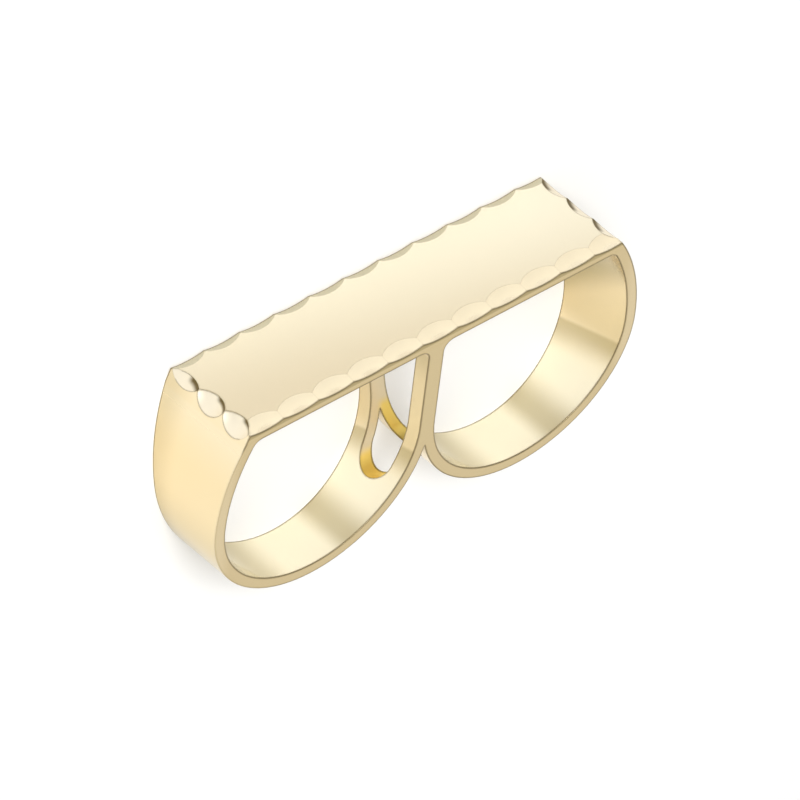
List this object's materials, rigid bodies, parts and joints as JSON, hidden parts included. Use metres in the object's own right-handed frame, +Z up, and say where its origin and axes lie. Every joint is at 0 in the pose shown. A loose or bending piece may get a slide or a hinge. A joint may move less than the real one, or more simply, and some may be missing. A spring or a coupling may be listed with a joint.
{
  "type": "double ring",
  "caption": "Two-finger ring: a flat rectangular plate with scooped edges over two open D-shaped loops joined by a slotted pillar, in polished yellow gold colour.",
  "frame": {"origin": "centre of the base of the ring's box as it lies on its back side, on the surface it lies on", "axes": "+X along the plate (the worn ring's left), -Y out of the plate's polished top, +Z up from the surface, out of the worn ring's front side"},
  "size_m": [0.0402, 0.0203, 0.0095],
  "materials": {
    "gold": "polished, pale yellow gold colour"
  },
  "bodies": {
    "root": {"double_ring": "gold"}
  },
  "joints": []
}
